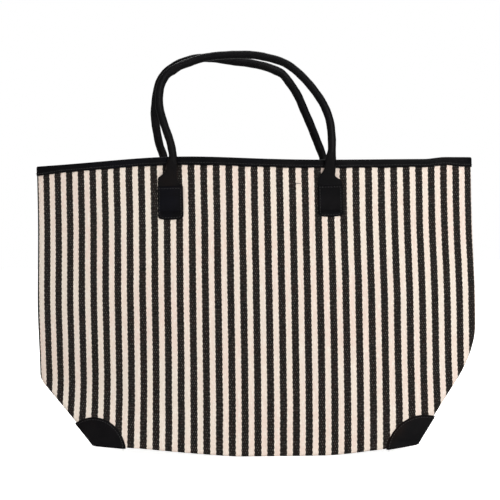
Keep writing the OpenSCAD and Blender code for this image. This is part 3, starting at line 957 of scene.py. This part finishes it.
# Sideways and outward directions along a route, and the length run so far
def alongRoute(path):
    tangent = np.gradient(path, axis=0)
    tangent /= np.linalg.norm(tangent, axis=1, keepdims=True)
    wide = np.cross(tangent, [0, 1, 0])
    wide /= np.linalg.norm(wide, axis=1, keepdims=True)
    thick = np.cross(wide, tangent)
    run = np.concatenate([[0], np.cumsum(np.linalg.norm(np.diff(path, axis=0), axis=1))])
    return wide, thick, run


# Centre of the flattened end, from under the patch up to the fold
def tabLine(side, x, hand):
    low = handleSet["patchTop"][hand] - handleSet["tabDrop"]
    z = np.linspace(low, handleSet["fold"] - 3 * mm, 11)
    a, h = clothPlace(np.full(11, x), z, side)
    return skin(a, h, side, 0.3 * mm + handleSet["tabThick"])


def footHalf(hand, edge, z, radius):
    neck, tab, low, high = handleSet["feet"][hand][edge]
    narrow = radius + neck * mm * (1 - smoothStep(z, *handleSet["neckOver"]))
    return mixed(narrow, tab * mm, 1 - smoothStep(z, low * mm, high * mm))


def makeHandle(word, side):
    route = smoothRoute(handleSet[word], 6)
    left = tabLine(side, handleSet[word][0][0] * mm, -1)
    right = tabLine(side, handleSet[word][-1][0] * mm, 1)
    path = np.concatenate([left, route, right[::-1]])
    wide, thick, run = alongRoute(path)
    sides = handleSet["sides"]
    rings, uv = [], []
    for i, p in enumerate(path):
        flat = min(1, max(0, (handleSet["fold"] + handleSet["flare"] - p[2]) / handleSet["flare"]))
        hand = -1 if i < len(path) / 2 else 1
        swelled = smoothStep(p[2], *handleSet["swellOver"])
        radius = handleSet["radius"] * mixed(1, handleSet["swell"][word], swelled)
        halves = {edge: footHalf(hand, edge, p[2], radius) for edge in ("outer", "inner")}
        for x, z, bulge in handleSet["kinks"][word]:
            away = (p[0] - x * mm) ** 2 + (p[2] - z * mm) ** 2
            halves["inner"] += bulge * mm * math.exp(-away / handleSet["kinkSize"] ** 2)
        deep = mixed(radius, handleSet["tabThick"], math.sin(flat * math.pi / 2))
        boxy = mixed(1.0, 0.55, smoothStep(flat, 0.3, 1))
        pinch = 1 + 0.02 * math.sin(run[i] * 330) + 0.012 * math.sin(run[i] * 790 + 1)      # slight lumps
        ring = []
        for k in range(sides):
            turn = math.tau * k / sides
            c, s = math.cos(turn), math.sin(turn)
            c = math.copysign(abs(c) ** boxy, c)
            s = math.copysign(abs(s) ** boxy, s)
            seam = 1 - 0.09 * math.exp(-((turn - 4.1) / 0.16) ** 2) * (1 - flat)      # groove of the seam
            half = halves["outer" if c > 0 else "inner"]
            ring.append(p + (wide[i] * half * c + thick[i] * deep * s) * seam * (pinch if flat < 1 else 1))
            uv.append((run[i], k / sides))
        rings.append(ring)
    piece = addLoft(word + "_handle_roll", np.array(rings), handleLeather, uv=uv)
    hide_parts(word + "_handle_cover", word + "_handle_tab_left", word + "_handle_tab_right")
    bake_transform(piece)


# The twisted cord inside the roll
def makeFiller(word):
    path = smoothRoute(handleSet[word], 6)
    path = path[path[:, 2] > handleSet["fold"] + handleSet["flare"] + 1 * mm]
    wide, thick, run = alongRoute(path)
    turn = np.linspace(0, math.tau, 18, endpoint=False)
    lobes = 3.3 * mm * (0.88 + 0.12 * np.cos(3 * (turn[None, :] - run[:, None] / (6 * mm))))
    rings = (path[:, None, :] + wide[:, None, :] * (lobes * np.cos(turn))[..., None]
             + thick[:, None, :] * (lobes * np.sin(turn))[..., None])
    piece = addLoft(word + "_handle_cord", rings, fillerCotton)
    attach(piece, word + "_handle")
    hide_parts(word + "_handle_filler")


for word, side in (("front", front), ("back", back)):
    makeHandle(word, side)
    makeFiller(word)
print("handles are made")


patchSet = {
    "half": {-1: 16.2 * mm, 1: 15.5 * mm},
    "height": {-1: 41.8 * mm, 1: 39.6 * mm},
    "corner": 5 * mm,
    "thick": 1.3 * mm,
    "edgeRound": 0.9 * mm,
    "stitchIn": 2.6 * mm,
    "columns": 37,
    "rows": 47,
}
overLift = 2 * handleSet["tabThick"] + 0.35 * mm      # how far the flat end pushes a patch out


# 1 where the patch lies over the handle's flat end, 0 beside it
def overTab(px, pz, x, hand):
    halves = {edge: handleSet["feet"][hand][edge][1] * mm + 0.5 * mm for edge in ("outer", "inner")}
    away = (px - x) * hand
    side = smoothStep(np.minimum(halves["outer"] - away, halves["inner"] + away), -0.5 * mm, 1.5 * mm)
    low = handleSet["patchTop"][hand] - handleSet["tabDrop"]
    return side * smoothStep(pz, low - 2.5 * mm, low + 1.5 * mm)


def patchMiddle(x, hand):
    feet = handleSet["feet"][hand]
    return x + hand * (feet["outer"][1] - feet["inner"][1]) / 2 * mm


# Places of a patch's grid: sideways and upward from its middle top, with round lower corners
def patchGrid(x, hand):
    top, height, wide = handleSet["patchTop"][hand], patchSet["height"][hand], patchSet["half"][hand]
    u = np.linspace(-1, 1, patchSet["columns"])
    v = np.linspace(0, 1, patchSet["rows"])
    across, up = np.meshgrid(u, v, indexing="ij")
    fromBottom = up * height
    corner = patchSet["corner"]
    arc = corner - np.sqrt(np.maximum(0, corner ** 2 - (corner - fromBottom) ** 2))
    cut = np.where(fromBottom < corner, arc, 0)
    px = patchMiddle(x, hand) + across * (wide - cut * 0.85)
    pz = top - height + fromBottom + 0.7 * mm * across ** 2 * (1 - up)
    edge = np.minimum(np.minimum((1 - np.abs(across)) * wide, fromBottom), height - fromBottom)
    return px, pz, edge


def makePatch(side, x, hand, name):
    px, pz, edge = patchGrid(x, hand)
    a, h = clothPlace(px, pz, side)
    rest = 0.15 * mm + overLift * overTab(px, pz, x, hand)
    rounding = np.sqrt(np.clip(edge / patchSet["edgeRound"], 0, 1))
    dip = 0.3 * mm * np.exp(-((edge - patchSet["stitchIn"]) / (0.7 * mm)) ** 2)     # the stitch line pulls in
    outer = skin(a, h, side, rest + patchSet["thick"] * (0.45 + 0.55 * rounding) - dip)
    inner = skin(a, h, side, rest)
    piece = addSlab(name, outer, inner, trimLeather, np.stack([px, pz], 2))
    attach(piece, "bag")
    return piece


def makeBacking(side, x, hand, name):
    px, pz, edge = patchGrid(x, hand)
    a, h = clothPlace(px, pz, side)
    under = throughWall + 0.2 * mm
    rounding = np.sqrt(np.clip(edge / patchSet["edgeRound"], 0, 1))
    outer = skin(a, h, side, -under)
    inner = skin(a, h, side, -under - 1.2 * mm * (0.4 + 0.6 * rounding))
    piece = addSlab(name, outer, inner, backingSuede)
    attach(piece, "bag")
    return piece


stitchLines = []      # each is a list of points that a row of stitches follows


def patchStitches(side, x, hand, out):
    top = handleSet["patchTop"][hand]
    half, height = patchSet["half"][hand] - patchSet["stitchIn"], patchSet["height"][hand]
    middle = patchMiddle(x, hand)
    low, high = top - height + patchSet["stitchIn"], top - patchSet["stitchIn"]
    cut = patchSet["corner"] * 0.6
    outline = [(-half, high), (-half, low + cut), (-half + cut, low), (half - cut, low), (half, low + cut),
               (half, high), (-half, high)]
    points = []
    for (x0, z0), (x1, z1) in zip(outline, outline[1:]):
        count = max(2, int(math.hypot(x1 - x0, z1 - z0) / (1.2 * mm)))
        for k in range(count):
            points.append((middle + mixed(x0, x1, k / count), mixed(z0, z1, k / count)))
    points = np.array(points + [points[0]])
    a, h = clothPlace(points[:, 0], points[:, 1], side)
    over = overTab(points[:, 0], points[:, 1], x, hand)
    lift = out if out < 0 else out + overLift * over
    stitchLines.append(skin(a, h, side, lift))


for word, side in (("front", front), ("back", back)):
    for hand, handWord in ((-1, "left"), (1, "right")):
        x = handleSet[word][0 if hand < 0 else -1][0] * mm
        patch = makePatch(side, x, hand, f"patch_{word}_{handWord}")
        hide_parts(f"{word}_handle_patch_{handWord}")
        backing = makeBacking(side, x, hand, f"backing_{word}_{handWord}")
        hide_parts(f"{word}_handle_backing_{handWord}")
        patchStitches(side, x, hand, 0.15 * mm + patchSet["thick"] - 0.28 * mm)
        patchStitches(side, x, hand, -(throughWall + 1.3 * mm))
print("patches are made")


stitchSet = {
    "length": 2.6 * mm,
    "pitch": 3.5 * mm,
    "radius": 0.36 * mm,
    "sides": 6,
    "rings": 5,
    "seed": 7,
}


def stitchTree():
    tree = bpy.data.node_groups.new("stitchRow", "GeometryNodeTree")
    tree.interface.new_socket(name="Geometry", in_out="INPUT", socket_type="NodeSocketGeometry")
    for name in ("Pitch", "Length", "Radius"):
        socket = tree.interface.new_socket(name=name, in_out="INPUT", socket_type="NodeSocketFloat")
        socket.default_value = stitchSet[name.lower()]
    tree.interface.new_socket(name="Geometry", in_out="OUTPUT", socket_type="NodeSocketGeometry")
    nodes, links = tree.nodes, tree.links
    given = nodes.new("NodeGroupInput")
    result = nodes.new("NodeGroupOutput")
    curve = nodes.new("GeometryNodeMeshToCurve")
    links.new(given.outputs["Geometry"], curve.inputs[0])
    points = nodes.new("GeometryNodeCurveToPoints")
    points.mode = "LENGTH"
    links.new(curve.outputs[0], points.inputs["Curve"])
    links.new(given.outputs["Pitch"], points.inputs["Length"])
    bead = nodes.new("GeometryNodeMeshUVSphere")
    bead.inputs["Segments"].default_value = stitchSet["sides"]
    bead.inputs["Rings"].default_value = stitchSet["rings"]
    bead.inputs["Radius"].default_value = 1.0
    half = nodes.new("ShaderNodeMath")
    half.operation = "MULTIPLY"
    half.inputs[1].default_value = 0.5
    links.new(given.outputs["Length"], half.inputs[0])
    size = nodes.new("ShaderNodeCombineXYZ")
    links.new(given.outputs["Radius"], size.inputs["X"])
    links.new(given.outputs["Radius"], size.inputs["Y"])
    links.new(half.outputs[0], size.inputs["Z"])
    jitter = nodes.new("FunctionNodeRandomValue")
    jitter.data_type = "FLOAT_VECTOR"
    jitter.inputs["Min"].default_value = (-0.09, -0.09, -0.05)
    jitter.inputs["Max"].default_value = (0.09, 0.09, 0.05)
    jitter.inputs["Seed"].default_value = stitchSet["seed"]
    place = nodes.new("GeometryNodeInstanceOnPoints")
    links.new(points.outputs["Points"], place.inputs["Points"])
    links.new(bead.outputs["Mesh"], place.inputs["Instance"])
    links.new(points.outputs["Rotation"], place.inputs["Rotation"])
    links.new(size.outputs[0], place.inputs["Scale"])
    skew = nodes.new("GeometryNodeRotateInstances")
    links.new(place.outputs[0], skew.inputs["Instances"])
    links.new(jitter.outputs["Value"], skew.inputs["Rotation"])
    real = nodes.new("GeometryNodeRealizeInstances")
    links.new(skew.outputs[0], real.inputs[0])
    paint = nodes.new("GeometryNodeSetMaterial")
    paint.inputs["Material"].default_value = threadWaxed
    links.new(real.outputs[0], paint.inputs["Geometry"])
    links.new(paint.outputs[0], result.inputs[0])
    return tree


def makeStitches(name, lines, body):
    tree = stitchTree()
    points, edges = [], []
    for line in lines:
        first = len(points)
        points += [tuple(p) for p in line]
        edges += [(first + k, first + k + 1) for k in range(len(line) - 1)]
    mesh = bpy.data.meshes.new(name + "Lines")
    mesh.from_pydata(points, edges, [])
    rows = bpy.data.objects.new(name + "Lines", mesh)
    bpy.context.scene.collection.objects.link(rows)
    modifier = rows.modifiers.new("stitches", "NODES")
    modifier.node_group = tree
    for socket in tree.interface.items_tree:
        if socket.in_out == "INPUT" and socket.name.lower() in stitchSet:
            modifier[socket.identifier] = stitchSet[socket.name.lower()]
    bpy.context.view_layer.update()
    made = bpy.data.meshes.new_from_object(rows.evaluated_get(bpy.context.evaluated_depsgraph_get()))
    made.name = name
    bpy.data.objects.remove(rows, do_unlink=True)
    made.polygons.foreach_set("use_smooth", [True] * len(made.polygons))
    if not made.materials:
        made.materials.append(threadWaxed)
    piece = bpy.data.objects.new(name, made)
    bpy.context.scene.collection.objects.link(piece)
    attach(piece, body)


makeStitches("patch_stitches", stitchLines, "bag")

rimLines = []
for side in (front, back):
    a = np.linspace(-0.992, 0.992, 320)
    low = bag["rise"] - bindingSet["leaf"] + bindingSet["groove"] + leafShift(a)
    inside = throughWall + 0.15 * mm
    rimLines.append(skin(a, low, side, 0.15 * mm + bindingSet["thick"] * 1.02))
    rimLines.append(skin(a, low, side, -inside - bindingSet["thick"] * 1.02))
makeStitches("rim_stitches", rimLines, "bag")

snagSet = {"at": (54.5 * mm, 63.0 * mm), "height": 333.2 * mm, "radius": 0.3 * mm}     # a pulled yarn


def makeSnag():
    count = 15
    x = np.linspace(*snagSet["at"], count)
    t = np.linspace(0, 1, count)
    a, h = clothPlace(x, snagSet["height"] + 0.35 * mm * np.sin(t * 4), front)
    middle = skin(a, h, front, 0.25 * mm + 0.5 * mm * np.sin(t * math.pi))
    turn = np.linspace(0, math.tau, 8, endpoint=False)
    around = np.stack([np.zeros(8), np.cos(turn), np.sin(turn)], 1) * snagSet["radius"]
    thin = 0.35 + 0.65 * np.sin(np.clip(t, 0.05, 0.95) * math.pi) ** 0.4
    piece = addLoft("pulled_thread", middle[:, None] + around[None] * thin[:, None, None], threadWaxed)
    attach(piece, "bag")


makeSnag()

guardLines = []
for side in (front, back):
    for hand in (-1, 1):
        r = guardSet["radius"] - guardSet["stitchIn"]
        out = guardSet["gap"] + guardSet["thick"]
        line = [np.array(guardPoint(hand, side, r, t)) + guardOut(hand, side, t, r) * out
                for t in np.linspace(0, 270, 181)]
        guardLines.append(np.array(line))
makeStitches("guard_stitches", guardLines, "bag")
print("stitches are sewn")
